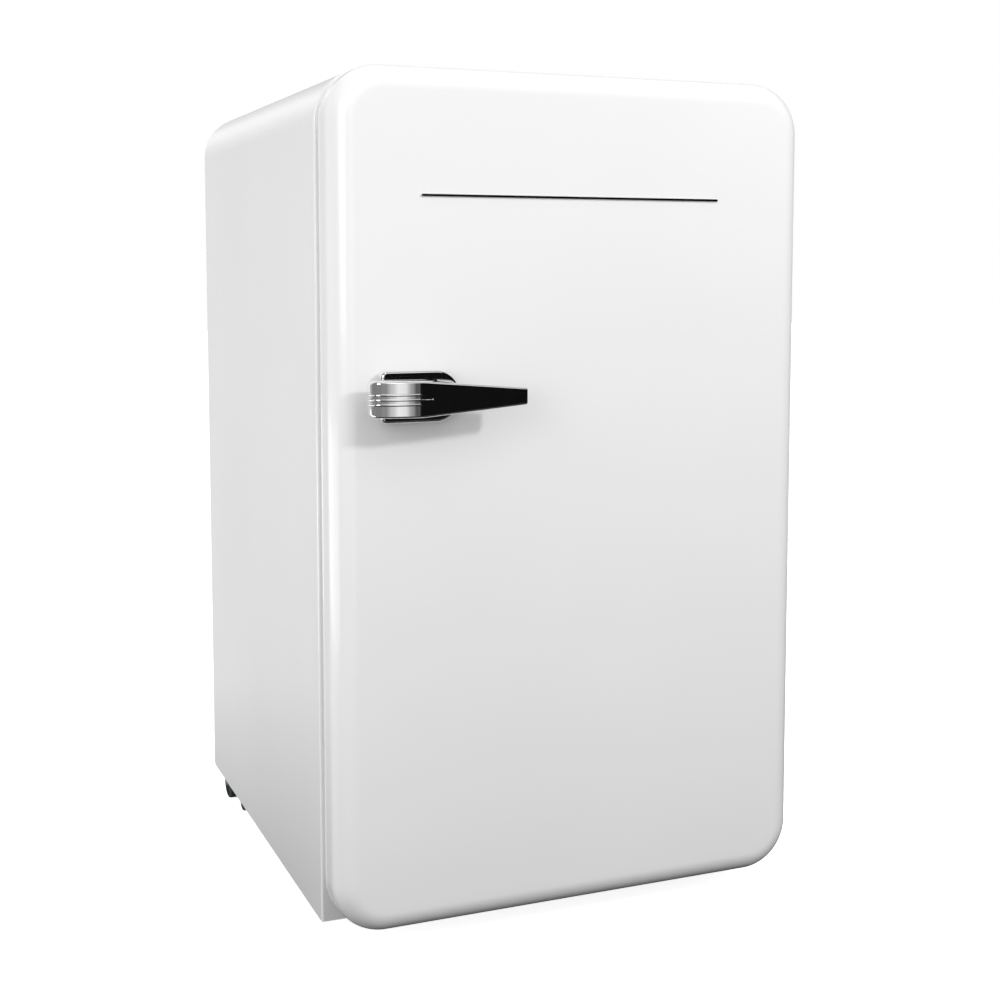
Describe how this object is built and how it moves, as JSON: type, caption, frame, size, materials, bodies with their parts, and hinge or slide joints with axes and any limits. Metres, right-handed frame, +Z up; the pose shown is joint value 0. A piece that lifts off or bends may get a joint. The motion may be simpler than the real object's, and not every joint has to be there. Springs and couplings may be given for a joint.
{
  "type": "compact refrigerator",
  "caption": "Free-standing compact refrigerator with a rounded retro door, chrome lever handle, shelves, drawer, freezer box and a rear compressor bay.",
  "frame": {"origin": "on the floor, under the middle of the object's overall box, handle included", "axes": "+X to the right as seen from the front, +Y to the rear, +Z up; the door faces -Y"},
  "size_m": [0.486, 0.599, 0.822],
  "materials": {
    "white_enamel": "gloss white enamel on formed steel",
    "zinc_steel": "galvanised sheet, matt",
    "foam": "rigid foam, pale yellow",
    "liner_white": "vacuum-formed plastic, satin white",
    "panel_grey": "textured light grey rear panel",
    "screw_steel": "plated screws",
    "tube_steel": "coated steel tube",
    "compressor_black": "black enamel, satin",
    "rubber_black": "black rubber",
    "cover_black": "black moulded plastic",
    "tray_grey": "grey moulded plastic",
    "copper": "bare copper tube",
    "wheel_green_black": "dark greenish moulded plastic",
    "foot_plastic": "dark moulded pad on a steel stem",
    "gasket_white": "soft white magnetic gasket",
    "nylon": "natural nylon",
    "rack_clear": "clear moulded plastic",
    "chrome": "polished chrome plate",
    "shelf_glass": "clear safety glass with ground edges",
    "trim_white": "white moulded trim",
    "aluminium": "rolled aluminium",
    "flap_clear": "translucent pale blue plastic",
    "dial_grey": "grey moulded knob"
  },
  "bodies": {
    "cabinet": {"cabinet_shell": "white_enamel", "front_bottom_rail": "white_enamel", "inner_liner": "liner_white", "cabinet_insulation": "foam", "floor_pan": "zinc_steel", "back_panel": "panel_grey", "back_panel_screws": "screw_steel", "skin_condenser": "tube_steel", "bottom_hinge_bracket": "screw_steel", "top_hinge_bracket": "screw_steel", "hinge_screws": "screw_steel", "compressor_bay_liner": "zinc_steel", "compressor_base_plate": "zinc_steel", "compressor": "compressor_black", "compressor_grommets": "rubber_black", "compressor_bolts": "screw_steel", "relay_cover": "cover_black", "evaporation_tray": "tray_grey", "filter_drier": "copper", "refrigerant_tubes": "copper", "drain_tube": "tray_grey", "cord_grommet": "rubber_black", "wheel_brackets": "zinc_steel", "wheel_axles": "screw_steel", "foot_nuts": "screw_steel", "freezer_box": "aluminium", "freezer_frame": "trim_white", "drip_tray_rails": "zinc_steel", "thermostat_housing": "trim_white", "crisper_lid": "shelf_glass"},
    "door": {"door_outer_panel": "white_enamel", "door_insulation": "foam", "door_inner_liner": "liner_white", "door_gasket": "gasket_white", "hinge_bushes": "nylon", "door_rack_bottle": "rack_clear", "door_rack_middle": "rack_clear", "door_rack_top": "rack_clear", "bottle_rail": "chrome", "trim_strip": "chrome", "handle_base": "chrome", "handle_screws": "screw_steel"},
    "handle": {"handle_lever": "chrome", "handle_pin": "screw_steel", "handle_spring": "screw_steel"},
    "freezer_flap": {"freezer_flap": "flap_clear"},
    "drip_tray": {"drip_tray": "rack_clear"},
    "upper_shelf": {"upper_shelf_glass": "shelf_glass", "upper_shelf_trim": "trim_white"},
    "lower_shelf": {"lower_shelf_glass": "shelf_glass", "lower_shelf_trim": "trim_white"},
    "crisper": {"crisper_drawer": "rack_clear"},
    "thermostat_dial": {"thermostat_dial": "dial_grey"},
    "rear_wheel_left": {"rear_wheel_left": "wheel_green_black"},
    "rear_wheel_right": {"rear_wheel_right": "wheel_green_black"},
    "guide_wheel_left": {"guide_wheel_left": "wheel_green_black"},
    "guide_wheel_right": {"guide_wheel_right": "wheel_green_black"},
    "levelling_foot_left": {"levelling_foot_left": "foot_plastic"},
    "levelling_foot_right": {"levelling_foot_right": "foot_plastic"}
  },
  "joints": [
    {"name": "door_hinge", "type": "hinge", "parent": "cabinet", "child": "door", "pos_m": [0.229, -0.2295, 0.422], "axis": [0, 0, 1], "range_deg": [0, 110]},
    {"name": "handle_pull", "type": "hinge", "parent": "door", "child": "handle", "pos_m": [-0.1925, -0.2805, 0.5249], "axis": [0, 0, -1], "range_deg": [0, 15], "stiffness_Nm_per_rad": 1.5, "springref_deg": -5.73},
    {"name": "freezer_flap_hinge", "type": "hinge", "parent": "cabinet", "child": "freezer_flap", "pos_m": [0, -0.0855, 0.76], "axis": [-1, 0, 0], "range_deg": [0, 90]},
    {"name": "drip_tray_slide", "type": "slide", "parent": "cabinet", "child": "drip_tray", "axis": [0, -1, 0], "range_m": [0, 0.1]},
    {"name": "upper_shelf_slide", "type": "slide", "parent": "cabinet", "child": "upper_shelf", "axis": [0, -1, 0], "range_m": [0, 0.045]},
    {"name": "lower_shelf_slide", "type": "slide", "parent": "cabinet", "child": "lower_shelf", "axis": [0, -1, 0], "range_m": [0, 0.045]},
    {"name": "crisper_slide", "type": "slide", "parent": "cabinet", "child": "crisper", "axis": [0, -1, 0], "range_m": [0, 0.035]},
    {"name": "thermostat_turn", "type": "hinge", "parent": "cabinet", "child": "thermostat_dial", "pos_m": [0.168, 0.06, 0.553], "axis": [1, 0, 0], "range_deg": [-150, 150]},
    {"name": "rear_wheel_left_spin", "type": "hinge", "parent": "cabinet", "child": "rear_wheel_left", "pos_m": [-0.232, 0.234, 0.0195], "axis": [1, 0, 0], "continuous": true},
    {"name": "guide_wheel_left_spin", "type": "hinge", "parent": "cabinet", "child": "guide_wheel_left", "pos_m": [-0.228, 0.183, 0.013], "axis": [1, 0, 0], "continuous": true},
    {"name": "levelling_foot_left_screw", "type": "slide", "parent": "cabinet", "child": "levelling_foot_left", "axis": [0, 0, -1], "range_m": [-0.006, 0.01]},
    {"name": "rear_wheel_right_spin", "type": "hinge", "parent": "cabinet", "child": "rear_wheel_right", "pos_m": [0.232, 0.234, 0.0195], "axis": [1, 0, 0], "continuous": true},
    {"name": "guide_wheel_right_spin", "type": "hinge", "parent": "cabinet", "child": "guide_wheel_right", "pos_m": [0.228, 0.183, 0.013], "axis": [1, 0, 0], "continuous": true},
    {"name": "levelling_foot_right_screw", "type": "slide", "parent": "cabinet", "child": "levelling_foot_right", "axis": [0, 0, -1], "range_m": [-0.006, 0.01]}
  ]
}
